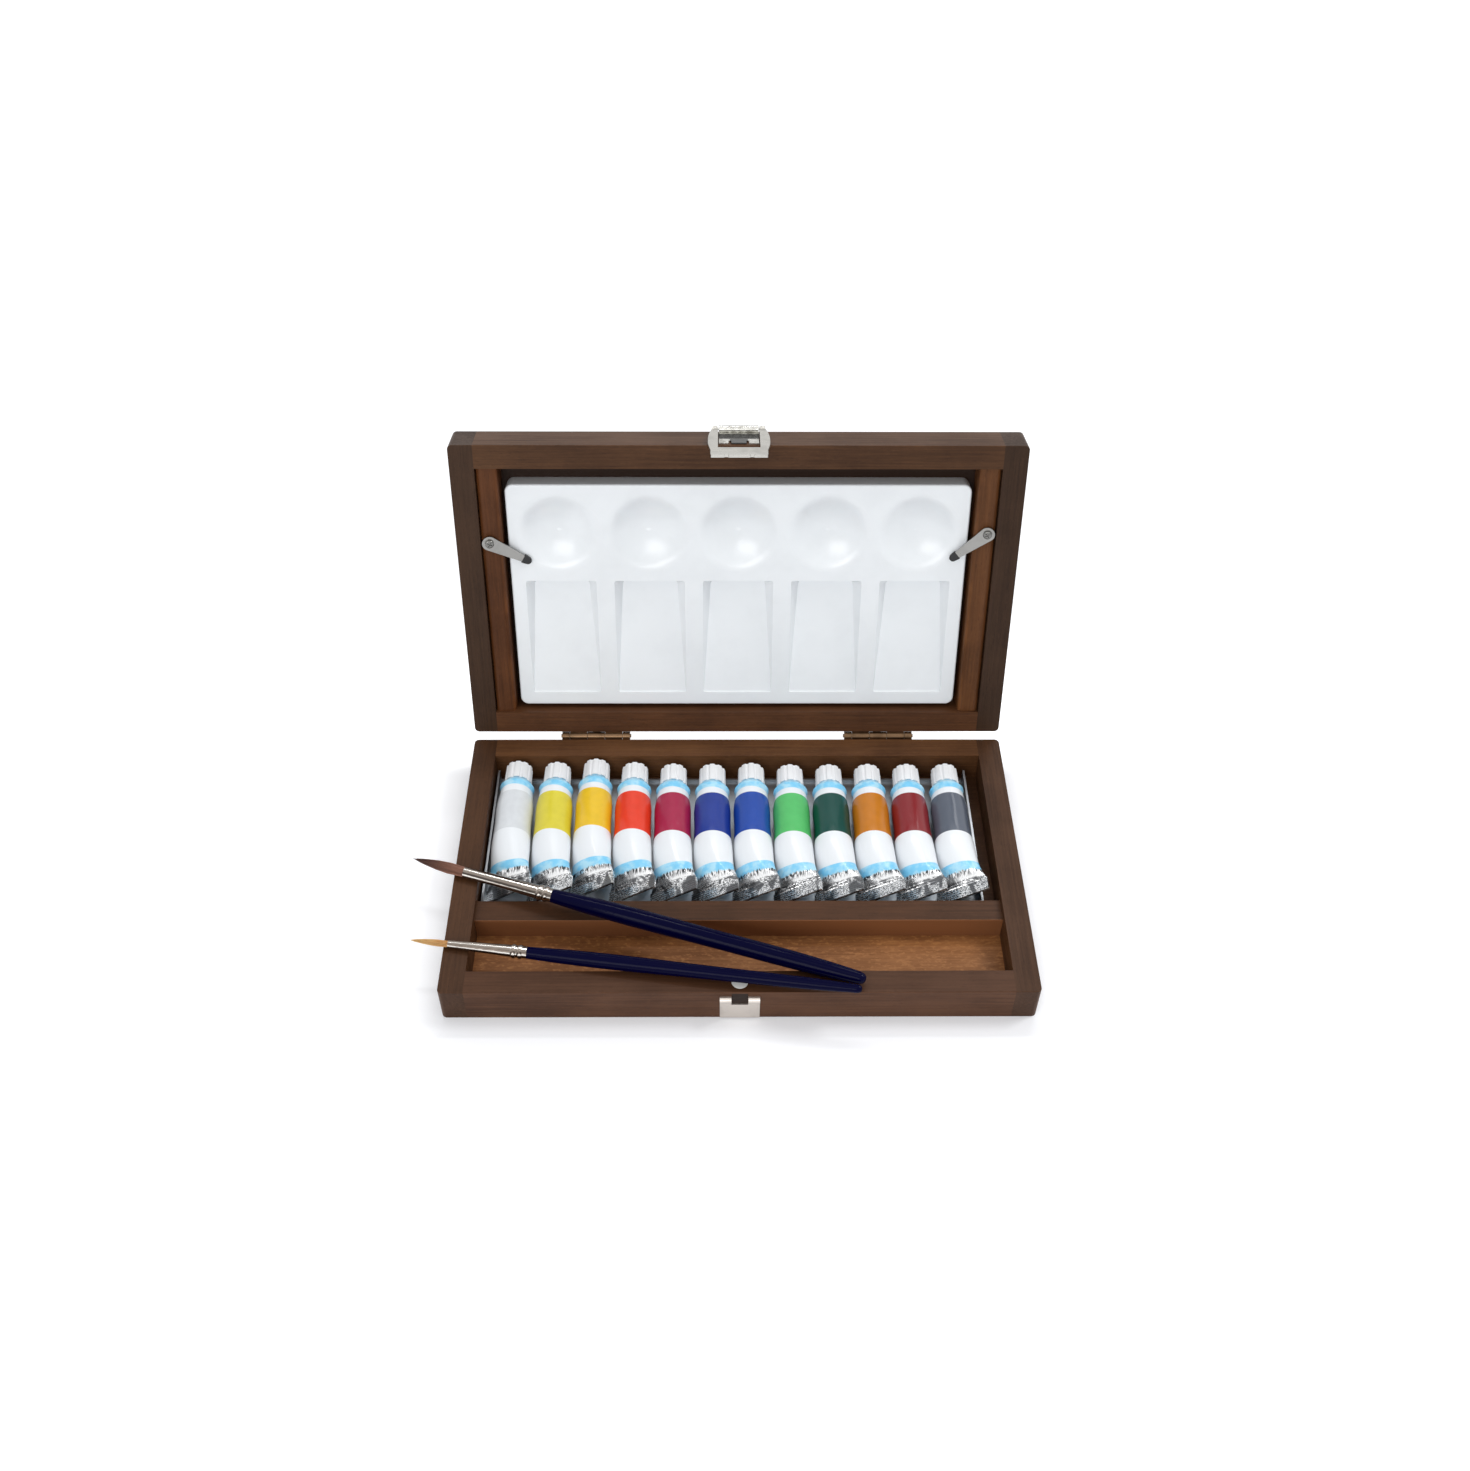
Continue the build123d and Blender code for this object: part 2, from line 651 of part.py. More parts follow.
# Turn clips: a tapered leaf on a leaning screw, with a rubber sleeve over its narrow end
for name, turned in clip_planes.items():
    tip_start = clip_length - clip_tip_length
    with BuildPart() as clip:
        with BuildSketch(turned):
            Circle(clip_head_radius)
            with Locations((clip_length - clip_tip_radius, 0)):
                Circle(clip_tip_radius - clip_tip_wall)
            make_hull()
            Circle(clip_screw_radius + fit_clearance, mode=Mode.SUBTRACT)
        extrude(amount=clip_thickness)
    save(clip.part, f"clip_{name}")
    with BuildPart() as sleeve:
        with BuildSketch(turned.offset(-clip_tip_wall)):
            with Locations((clip_length - clip_tip_radius, 0)):
                Circle(clip_tip_radius)
            with Locations((tip_start, 0)):
                Rectangle(clip_tip_wall, 2 * clip_tip_root)
            make_hull()
        extrude(amount=clip_thickness + 2 * clip_tip_wall)
        fillet(sleeve.faces().sort_by(Axis(turned.origin, turned.z_dir))[-1].edges(), 0.8 * clip_tip_wall)
        add(clip.part, mode=Mode.SUBTRACT)
    save(sleeve.part, f"clip_{name}_tip")


def clip_screw(plane):
    """A domed screw with a cross recess, and the shoulder that holds the clip's leaf off the batten."""
    with BuildPart() as screw:
        with BuildSketch(plane):
            Circle(clip_screw_head_radius)
        extrude(amount=clip_screw_head_height)
        head_top = screw.faces().sort_by(Axis(plane.origin, plane.z_dir))[-1]
        fillet(head_top.edges(), 0.6 * clip_screw_head_height)
        with BuildSketch(plane):
            Circle(clip_screw_radius)
        extrude(amount=-clip_screw_length)
        with BuildSketch(plane.offset(-clip_thickness - 2 * fit_clearance)):
            Circle(clip_shoulder_radius)
        extrude(amount=-clip_shoulder_length)
        with BuildSketch(plane.offset(clip_screw_head_height)):
            Rectangle(2 * clip_screw_radius, cross_width)
            Rectangle(cross_width, 2 * clip_screw_radius)
        extrude(amount=-cross_depth, mode=Mode.SUBTRACT)
    return screw.part


clip_screw_parts = [clip_screw(plane) for plane in clip_head_planes]
with BuildPart() as clip_screws:
    add(clip_screw_parts)
save(clip_screws.part, "clip_screws")

# Catch on the lid's front face: a plate with a rolled knuckle, and the hasp that swings on it
pin_y = lid_face + catch_pin_height
pin_z = lid_rim - catch_pin_z
with BuildPart() as catch_plate:
    with BuildSketch(lid_side_plane.offset(-catch_plate_width / 2)):
        with Locations((pin_z, pin_y)):
            Circle(catch_knuckle_radius)
        with BuildLine():
            Polyline(
                (pin_z, lid_face), (lid_rim - catch_plate_end, lid_face),
                (lid_rim - catch_plate_end, lid_face + catch_plate_thickness),
                (pin_z, lid_face + catch_plate_thickness), close=True)
        make_face()
    extrude(amount=catch_plate_width)
    with BuildSketch(lid_face_plane):
        for side in (-1, 1):
            with Locations((
                    side * (catch_tongue_width + catch_slot_width) / 2,
                    -lid_rim + catch_plate_end + catch_slot_length / 2)):
                Rectangle(catch_slot_width, catch_slot_length)
    extrude(amount=catch_plate_thickness, mode=Mode.SUBTRACT)
    with BuildSketch(lid_side_plane.offset(-catch_plate_width)):
        with Locations((pin_z, pin_y)):
            Circle(catch_pin_radius + press_clearance)
    extrude(amount=2 * catch_plate_width, mode=Mode.SUBTRACT)
save(catch_plate.part, "catch_plate")

with BuildPart() as catch_pin:
    with BuildSketch(lid_side_plane.offset(-hasp_end_width / 2 + fit_clearance)):
        with Locations((pin_z, pin_y)):
            Circle(catch_pin_radius)
    extrude(amount=hasp_end_width - 2 * fit_clearance)
save(catch_pin.part, "catch_pin")

hasp_end_z = lid_rim + hasp_lip_end
outline_start = -pin_z + hasp_eye_radius
outline_step = -lid_rim - hasp_bar_end
outline_end = -hasp_end_z - hasp_thickness / 2
with BuildPart() as catch_hasp:
    with BuildSketch(lid_side_plane.offset(-hasp_width / 2)):
        with Locations((pin_z, pin_y)):
            Circle(hasp_eye_radius)
        with BuildLine():
            Polyline(
                (pin_z, pin_y), (lid_rim + hasp_bar_end, lid_face + hasp_bar_height),
                (lid_rim + hasp_step_end, lid_face + hasp_lip_height),
                (hasp_end_z, lid_face + hasp_lip_height))
        trace(line_width=hasp_thickness)
    extrude(amount=hasp_width)
    with BuildSketch(lid_face_plane):
        with BuildLine():
            for side in (-1, 1):
                ThreePointArc(
                    (side * hasp_end_width / 2, outline_start),
                    (side * hasp_width / 2, (outline_start + outline_step) / 2),
                    (side * hasp_lip_width / 2, outline_step))
            Line((-hasp_end_width / 2, outline_start), (hasp_end_width / 2, outline_start))
            Line((-hasp_lip_width / 2, outline_step), (hasp_lip_width / 2, outline_step))
        make_face()
        with Locations((0, (outline_start + outline_end) / 2)):
            RectangleRounded(
                hasp_end_width, outline_start - outline_end, hasp_corner_radius)
        with Locations((0, outline_end + (outline_step - outline_end) * 0.6)):
            RectangleRounded(hasp_lip_width, 1.2 * (outline_step - outline_end), hasp_corner_radius)
    extrude(amount=4 * hasp_bar_height, both=True, mode=Mode.INTERSECT)
    window_start = outline_start + hasp_eye_radius
    window_end = -lid_rim - hasp_window_end
    with BuildSketch(lid_face_plane.offset(-hasp_bar_height)):
        with Locations((0, (window_start + window_end) / 2)):
            Rectangle(hasp_window, window_start - window_end)
        for side in (-1, 1):
            with Locations((side * hasp_notch_x, outline_end)):
                Circle(hasp_notch_radius)
    extrude(amount=4 * hasp_bar_height, mode=Mode.SUBTRACT)
    with BuildSketch(lid_side_plane.offset(-hasp_width)):
        with Locations((pin_z, pin_y)):
            Circle(catch_pin_radius + turning_clearance)
    extrude(amount=2 * hasp_width, mode=Mode.SUBTRACT)
save(catch_hasp.part, "catch_hasp")


# Brushes: a turned handle, a rolled ferrule and a pointed tuft of hair
def brush_side_plane(brush):
    """Local X runs along the brush from its mouth to the handle's end, local Y is up.

    The ferrule lies on the left rim and the thicker handle on the front rim, so the brush slopes.
    """
    heading = radians(brush["heading"])
    x, y = brush["mouth"]
    near_place = -(x + inner_half_width) / cos(heading)
    far_place = (y + inner_half_depth) / sin(-heading)
    ferrule_slope = (brush["ferrule_radius"] - brush["mouth_radius"]) / brush["ferrule"]
    near_radius = brush["mouth_radius"] + 1.2 * ferrule_slope * near_place
    slope = (brush["rest_radius"] - near_radius) / (far_place - near_place)
    height = base_height + running_gap + near_radius - slope * near_place
    along = Vector(cos(heading), sin(heading), slope).normalized()
    side = along.cross(Vector(0, 0, 1)).normalized()
    return Plane(origin=(x, y, height), x_dir=along, z_dir=side)


def tuft_spread(place, belly):
    """How far the tuft has spread at a share of its length: out to its belly, then in to a point."""
    if place < hair_belly_place:
        return 1 + (belly - 1) * place / hair_belly_place
    return belly + (hair_tip_spread - belly) * (place - hair_belly_place) / (1 - hair_belly_place)


def tuft(brush, plane):
    """Separate three-sided strands that share one pointed shape, so that none crosses another."""
    root = brush["mouth_radius"] - ferrule_wall - hair_inset
    count = brush["strands"]
    strand_radius = hair_fill * root * sqrt(pi / count)
    strands = []
    for k in range(count):
        share = sqrt((k + 0.5) / count)
        turn = k * golden_turn
        rings = []
        for place in (0, hair_belly_place, 1 - hair_end_scatter * share):
            spread = tuft_spread(place, brush["belly"])
            along = hair_inset - place * brush["hair"]
            corners = []
            for angle in (turn, turn + 2 * pi / 3, turn - 2 * pi / 3):
                across = root * share * cos(turn) + strand_radius * cos(angle)
                sideways = root * share * sin(turn) + strand_radius * sin(angle)
                corners.append(plane.from_local_coords((along, across * spread, sideways * spread)))
            rings.append(Wire.make_polygon(corners, close=True))
        strands.append(Solid.make_loft(rings, True))
    return strands


for brush in (large_brush, small_brush):
    plane = brush_side_plane(brush)
    axis = Axis(plane.origin, plane.x_dir)
    name = brush["name"]
    ferrule_end = brush["ferrule"]
    ferrule_radius = brush["ferrule_radius"]
    mouth_radius = brush["mouth_radius"]
    handle_end = ferrule_end + brush["handle"]
    round_start = ferrule_end + handle_end_place * brush["handle"]
    end_radius = brush["end_radius"]
    bead_starts = [ferrule_end - 1.5 - ferrule_bead_spacing * k for k in (2, 1)]
    with BuildPart() as ferrule:
        with BuildSketch(plane):
            with BuildLine():
                Polyline(
                    (ferrule_end, ferrule_radius), (ferrule_end, ferrule_radius - ferrule_wall),
                    (0, mouth_radius - ferrule_wall), (0, mouth_radius),
                    (bead_starts[0], ferrule_radius))
                for start in bead_starts:
                    ThreePointArc(
                        (start, ferrule_radius),
                        (start + ferrule_bead_length / 2, ferrule_radius + ferrule_bead),
                        (start + ferrule_bead_length, ferrule_radius))
                Line(
                    (bead_starts[0] + ferrule_bead_length, ferrule_radius),
                    (bead_starts[1], ferrule_radius))
                Line(
                    (bead_starts[1] + ferrule_bead_length, ferrule_radius),
                    (ferrule_end, ferrule_radius))
            make_face()
        revolve(axis=axis)
    save(ferrule.part, f"brush_{name}_ferrule")

    bore_end = ferrule_radius - ferrule_wall - fit_clearance / 2
    bore_slope = (ferrule_radius - mouth_radius) / bead_starts[0]
    tenon_start = ferrule_end - ferrule_tenon
    with BuildPart() as handle:
        with BuildSketch(plane):
            with BuildLine():
                Polyline(
                    (tenon_start, 0), (tenon_start, bore_end - bore_slope * ferrule_tenon),
                    (ferrule_end, bore_end), (ferrule_end, ferrule_radius - fit_clearance / 2))
                outline = Spline(
                    (ferrule_end, ferrule_radius - fit_clearance / 2),
                    *[(ferrule_end + place * brush["handle"], radius)
                      for place, radius in zip(handle_places, brush["handle_radii"])],
                    (round_start, end_radius))
                Spline((round_start, end_radius), (handle_end, 0), tangents=(outline % 1, (0, -1)))
                Line((handle_end, 0), (tenon_start, 0))
            make_face()
        revolve(axis=axis)
    save(handle.part, f"brush_{name}_handle")

    backing_radius = mouth_radius - ferrule_wall - fit_clearance / 2
    with BuildPart() as backing:
        with BuildSketch(plane):
            with BuildLine():
                Polyline(
                    (0, 0), (0, backing_radius), (hair_backing, backing_radius), (hair_backing, 0),
                    close=True)
            make_face()
        revolve(axis=axis)
    save(backing.part.fuse(Compound(tuft(brush, plane))), f"brush_{name}_hair")
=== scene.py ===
"""Looks for the wooden watercolour box: wood, printed tubes, moulded palette, metal fittings, brushes.

Metres: +X to the right, +Y to the back, where the hinges are, and +Z up.
"""
import math
import random

import bpy
from mathutils import Matrix, Vector


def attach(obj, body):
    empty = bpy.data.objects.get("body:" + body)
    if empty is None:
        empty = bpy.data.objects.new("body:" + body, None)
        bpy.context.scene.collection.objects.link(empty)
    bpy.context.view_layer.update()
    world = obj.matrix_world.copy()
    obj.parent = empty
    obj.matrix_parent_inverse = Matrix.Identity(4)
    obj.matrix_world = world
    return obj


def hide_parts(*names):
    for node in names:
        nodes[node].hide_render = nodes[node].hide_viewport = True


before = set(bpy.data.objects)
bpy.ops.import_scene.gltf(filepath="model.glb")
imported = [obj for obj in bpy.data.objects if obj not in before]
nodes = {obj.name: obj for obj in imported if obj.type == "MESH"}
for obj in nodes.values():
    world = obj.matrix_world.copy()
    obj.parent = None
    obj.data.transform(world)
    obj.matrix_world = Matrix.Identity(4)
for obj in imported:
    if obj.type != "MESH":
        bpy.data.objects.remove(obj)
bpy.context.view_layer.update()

# Sizes of the box that the materials need, with the lid open
lid_lean = math.radians(14.3)
lid_facing = (0.0, -math.cos(lid_lean), math.sin(lid_lean))
hinge_line = Vector((0, 0.0802, 0.01975))
tube_xs = [-0.0029 + (k - 5.5) * 0.0197 for k in range(12)]
tube_shifts = (2.5, 1.8, 4.0, 1.6, 0.6, 0.4, 1.0, 0.0, 0.0, 0.2, 0.2, 0.4)
tube_shoulder_ys = [0.049 + 0.001 * shift for shift in tube_shifts]
tube_axis_z = 0.01355
tube_radius = 0.00865

# Catch plate: half width of its tongue, and in millimetres out of the hinge line the hollow with its
# painted shadow, and the tongue
tongue_half_width = 0.0042
painted_shadow_places = (-13.2, -12.4, -7.0, -6.2)
tongue_places = (-6.8, -6.2)


def display(red, green, blue):
    """The linear colour of a display colour that is given in steps of 255."""
    channels = []
    for value in (red / 255, green / 255, blue / 255):
        channels.append(value / 12.92 if value <= 0.04045 else ((value + 0.055) / 1.055) ** 2.4)
    return (*channels, 1.0)


def scaled(colour, factor):
    """A colour made darker or lighter, with no channel past 1."""
    return [min(1.0, channel * factor) for channel in colour[:3]] + [1.0]


class Graph:
    """A material and short calls for the nodes that it is made of."""

    def __init__(self, name, **settings):
        self.material = bpy.data.materials.new(name)
        self.material.use_nodes = True
        self.tree = self.material.node_tree
        self.shader = self.tree.nodes["Principled BSDF"]
        self.coords = self.tree.nodes.new("ShaderNodeTexCoord")
        for socket, value in settings.items():
            self.feed(self.shader.inputs[socket.replace("_", " ")], value)

    def feed(self, socket, value):
        if isinstance(value, bpy.types.NodeSocket):
            self.tree.links.new(value, socket)
        else:
            socket.default_value = value

    def add(self, kind, inputs, **settings):
        node = self.tree.nodes.new(kind)
        for key, value in settings.items():
            setattr(node, key, value)
        for key, value in inputs.items():
            self.feed(node.inputs[key], value)
        return node

    def math(self, operation, first, second=0.0, third=0.0, clamp=False):
        inputs = {0: first, 1: second, 2: third}
        return self.add("ShaderNodeMath", inputs, operation=operation, use_clamp=clamp).outputs[0]

    def mapped(self, vector, scale=(1, 1, 1), rotation=(0, 0, 0), location=(0, 0, 0)):
        inputs = {"Vector": vector, "Scale": scale, "Rotation": rotation, "Location": location}
        return self.add("ShaderNodeMapping", inputs).outputs[0]

    def split(self, vector):
        return self.add("ShaderNodeSeparateXYZ", {0: vector}).outputs

    def noise(self, vector, scale=1.0, detail=2.0, roughness=0.5, distortion=0.0):
        inputs = {
            "Vector": vector, "Scale": scale, "Detail": detail, "Roughness": roughness,
            "Distortion": distortion}
        return self.add("ShaderNodeTexNoise", inputs).outputs[0]

    def span(self, value, low, high, to_low=0.0, to_high=1.0):
        inputs = {0: value, 1: low, 2: high, 3: to_low, 4: to_high}
        return self.add("ShaderNodeMapRange", inputs, interpolation_type="SMOOTHSTEP").outputs[0]

    def mix(self, factor, first, second):
        """Blends two colours."""
        return self.add("ShaderNodeMix", {0: factor, 6: first, 7: second}, data_type="RGBA").outputs[2]

    def fade(self, factor, first, second):
        """Blends two values."""
        return self.add("ShaderNodeMix", {0: factor, 2: first, 3: second}, data_type="FLOAT").outputs[0]

    def bump(self, height, strength, distance):
        inputs = {"Height": height, "Strength": strength, "Distance": distance}
        return self.add("ShaderNodeBump", inputs).outputs[0]

    def swayed(self, value, noise, width):
        """Adds a noise that is centred on nought and as wide as the width."""
        return self.math("MULTIPLY_ADD", noise, width, self.math("SUBTRACT", value, width / 2))

    def edge(self, value, place, softness):
        """Turns from 0 to 1 where the value passes a place."""
        return self.span(value, place - softness, place + softness)

    def between(self, value, low, low_full, high_full, high):
        """Rises from low to low_full and falls again from high_full to high."""
        return self.math("MULTIPLY", self.span(value, low, low_full), self.span(value, high, high_full))

    def surface(self, **sockets):
        for socket, value in sockets.items():
            self.feed(self.shader.inputs[socket.replace("_", " ")], value)
        return self.material


def wood(name, dark, light, along, in_lid, seed, figure, painted_light_and_shade_box=None, painted_shade_side=None):
    """Stained wood: a broad soft tone, faint streaks and short dark pores along the grain, rubbed edges.

    The seed moves the pattern, and the figure is the share of short light flecks. A box of painted light
    and shade is its low and high corner, a share and the colour painted inside it. A side of painted
    shade is its outward direction, a share and the colour painted on the faces that turn that way.
    """
    graph = Graph(name, Specular_IOR_Level=0.16)
    place = graph.coords.outputs["Object"]
    direction = graph.coords.outputs["Normal"]
    if in_lid:
        # The length of the lid, from hinge to free edge, is turned to lie along Y
        lid_rotation = (lid_lean - math.pi / 2, 0, 0)
        place = graph.mapped(place, rotation=lid_rotation)
        direction = graph.mapped(direction, rotation=lid_rotation)
    order = {"x": (0, 1, 1), "y": (1, 0, 1)}[along]

    def stretched(long_scale, cross_scale, shift):
        scale = [cross_scale if flag else long_scale for flag in order]
        return graph.mapped(place, scale=scale, location=(seed + shift, seed - shift, shift))

    broad = graph.noise(stretched(4, 42, 0.3), detail=3, distortion=0.4)
    streaks = graph.noise(stretched(26, 900, 1.7), detail=4, roughness=0.6, distortion=0.3)
    pores = graph.noise(stretched(260, 3200, 4.1), detail=1)
    blotches = graph.noise(place, scale=38, detail=3)
    flecks = graph.noise(stretched(420, 900, 2.3), detail=2)
    tone = graph.math("MULTIPLY_ADD", streaks, 0.5, graph.math("MULTIPLY", broad, 0.5))
    tone = graph.swayed(tone, blotches, 0.4)
    tone = graph.math("MULTIPLY_ADD", graph.span(flecks, 0.5, 0.75), figure, tone)
    colour = graph.mix(graph.span(tone, 0.2, 0.8), dark, light)
    pore_mask = graph.span(pores, 0.36, 0.30)
    colour = graph.mix(graph.math("MULTIPLY", pore_mask, 0.35), colour, scaled(dark, 0.45))
    sides = graph.split(direction)
    flat = graph.math("MAXIMUM", graph.math("ABSOLUTE", sides[1]), graph.math("ABSOLUTE", sides[2]))
    flat = graph.math("MAXIMUM", flat, graph.math("ABSOLUTE", sides[0]))
    rubbed = graph.math("MULTIPLY", graph.span(flat, 0.985, 0.8), graph.span(blotches, 0.3, 0.65))
    colour = graph.mix(graph.math("MULTIPLY", rubbed, 0.5), colour, scaled(light, 1.5))
    # Painted light and shade: inside the box the wood takes the painted colour
    if painted_light_and_shade_box is not None:
        low_corner, high_corner, strength, painted_colour = painted_light_and_shade_box
        inside = strength
        for value, low, high in zip(graph.split(place), low_corner, high_corner):
            inside = graph.math("MULTIPLY", graph.math("GREATER_THAN", value, low), inside)
            inside = graph.math("MULTIPLY", graph.math("LESS_THAN", value, high), inside)
        colour = graph.mix(inside, colour, painted_colour)
    # Painted shade: faces that turn the outward way take the painted colour
    if painted_shade_side is not None:
        outward, strength, painted_colour = painted_shade_side
        turned = 0.0
        for value, share in zip(graph.split(graph.coords.outputs["Normal"]), outward):
            turned = graph.math("MULTIPLY_ADD", value, share, turned)
        colour = graph.mix(graph.span(turned, 0.5, 0.6, 0.0, strength), colour, painted_colour)
    height = graph.math("MULTIPLY_ADD", streaks, 0.4, graph.math("MULTIPLY", pore_mask, -0.6))
    return graph.surface(
        Base_Color=colour,
        Roughness=graph.span(tone, 0.3, 0.7, 0.52, 0.4),
        Normal=graph.bump(height, 0.18, 0.0002))


def metal(name, colour, roughness, tarnish, scratch_axis=0):
    """Metal with fine scratches along one axis and a little uneven tarnish."""
    graph = Graph(name, Metallic=1.0)
    place = graph.coords.outputs["Object"]
    scale = [2600.0, 2600.0, 2600.0]
    scale[scratch_axis] = 60.0
    scratches = graph.noise(graph.mapped(place, scale=scale), detail=2)
    stains = graph.noise(place, scale=160, detail=4)
    shade = graph.math("MULTIPLY", graph.span(stains, 0.45, 0.7), tarnish, clamp=True)
    scratch_depth = 0.08
    rough = graph.math("MULTIPLY_ADD", scratches, scratch_depth, roughness - scratch_depth / 2)
    return graph.surface(
        Base_Color=graph.mix(shade, colour, scaled(colour, 0.55)),
        Roughness=graph.swayed(rough, stains, 0.1),
        Normal=graph.bump(scratches, 0.06, 0.0001))


def ferrule_metal():
    """Polished nickel tube with long streaks of wear round it, a painted highlight along its back and a
    thin one low down, and painted shade below.
    """
    graph = Graph("ferrule_nickel", Metallic=1.0)
    scratches = graph.noise(graph.mapped(graph.coords.outputs["Object"], scale=(60, 2600, 2600)), detail=2)
    forward = graph.split(graph.coords.outputs["Normal"])[1]
    level = graph.swayed(forward, scratches, 0.12)
    # Painted highlights along the back and low down, and painted shade below them, set by the way the
    # surface faces
    painted_highlight_back = graph.between(level, -0.22, -0.12, 0.02, 0.14)
    painted_highlight_low = graph.between(level, -0.93, -0.88, -0.82, -0.76)
    shade = graph.between(level, -0.82, -0.74, -0.62, -0.48)
    bright = graph.math("MAXIMUM", painted_highlight_back, painted_highlight_low)
    colour = graph.mix(bright, display(146, 136, 127), display(238, 234, 228))
    colour = graph.mix(graph.math("MULTIPLY", shade, 0.85), colour, display(52, 45, 40))
    return graph.surface(
        Base_Color=colour,
        Roughness=graph.math("MULTIPLY_ADD", scratches, 0.1, 0.1),
        Normal=graph.bump(scratches, 0.06, 0.0001))


def catch_metal():
    """Nickel of the catch plate: a painted shadow, nearly black, in its hollow below the knuckle, mid grey
    on the tongue, bright on the two flaps.
    """
    graph = Graph("catch_nickel", Metallic=1.0)
    place = graph.coords.outputs["Object"]
    x, y, z = graph.split(place)
    # Millimetres that a point stands out from the hinge line, the way the open lid faces
    out = graph.math("MULTIPLY", graph.math("SUBTRACT", y, hinge_line.y), lid_facing[1])
    out = graph.math("MULTIPLY_ADD", graph.math("SUBTRACT", z, hinge_line.z), lid_facing[2], out)
    out = graph.math("MULTIPLY", out, 1000.0)
    stains = graph.noise(place, scale=300, detail=3)
    # Painted shadow, nearly black, in the hollow below the knuckle
    painted_shadow = graph.between(out, *painted_shadow_places)
    tongue = graph.math("LESS_THAN", graph.math("ABSOLUTE", x), tongue_half_width)
    tongue = graph.math("MULTIPLY", tongue, graph.span(out, *tongue_places))
    bright = graph.mix(graph.span(stains, 0.4, 0.7), display(206, 205, 200), display(170, 168, 162))
    colour = graph.mix(tongue, bright, display(92, 93, 93))
    colour = graph.mix(painted_shadow, colour, display(12, 12, 13))
    return graph.surface(
        Base_Color=colour,
        Roughness=graph.math("MULTIPLY_ADD", stains, 0.1, 0.2),
        Normal=graph.bump(stains, 0.05, 0.0001))


def moulded(name, colour, roughness, grain, depth, coat=0.0, coat_roughness=0.08, soft=0.0, **settings):
    """Moulded plastic, rubber or lacquer: nearly even, with faint handling marks and a fine skin."""
    graph = Graph(name, Coat_Weight=coat, Coat_Roughness=coat_roughness, Subsurface_Weight=soft, **settings)
    graph.shader.inputs["Subsurface Radius"].default_value = (0.002, 0.002, 0.002)
    place = graph.coords.outputs["Object"]
    marks = graph.noise(place, scale=70, detail=4, roughness=0.6)
    skin = graph.noise(place, scale=grain, detail=2)
    return graph.surface(
        Base_Color=graph.mix(graph.span(marks, 0.4, 0.75), colour, scaled(colour, 0.97)),
        Roughness=graph.math("MULTIPLY_ADD", marks, 0.12, roughness - 0.06),
        Normal=graph.bump(skin, depth, 0.0002))


# Print on the tubes, in millimetres from the shoulder towards the crimp
band_end = 6.7
field_start = 10.3
field_end = 34.4
arch_middle = -2.0
arch_curve = 0.007
lower_band_start = 52.6
lower_band_end = 57.2
rib_end = 59.2
crimp_start = 61.4
waver_width = 1.6
fringe_width = 2.6


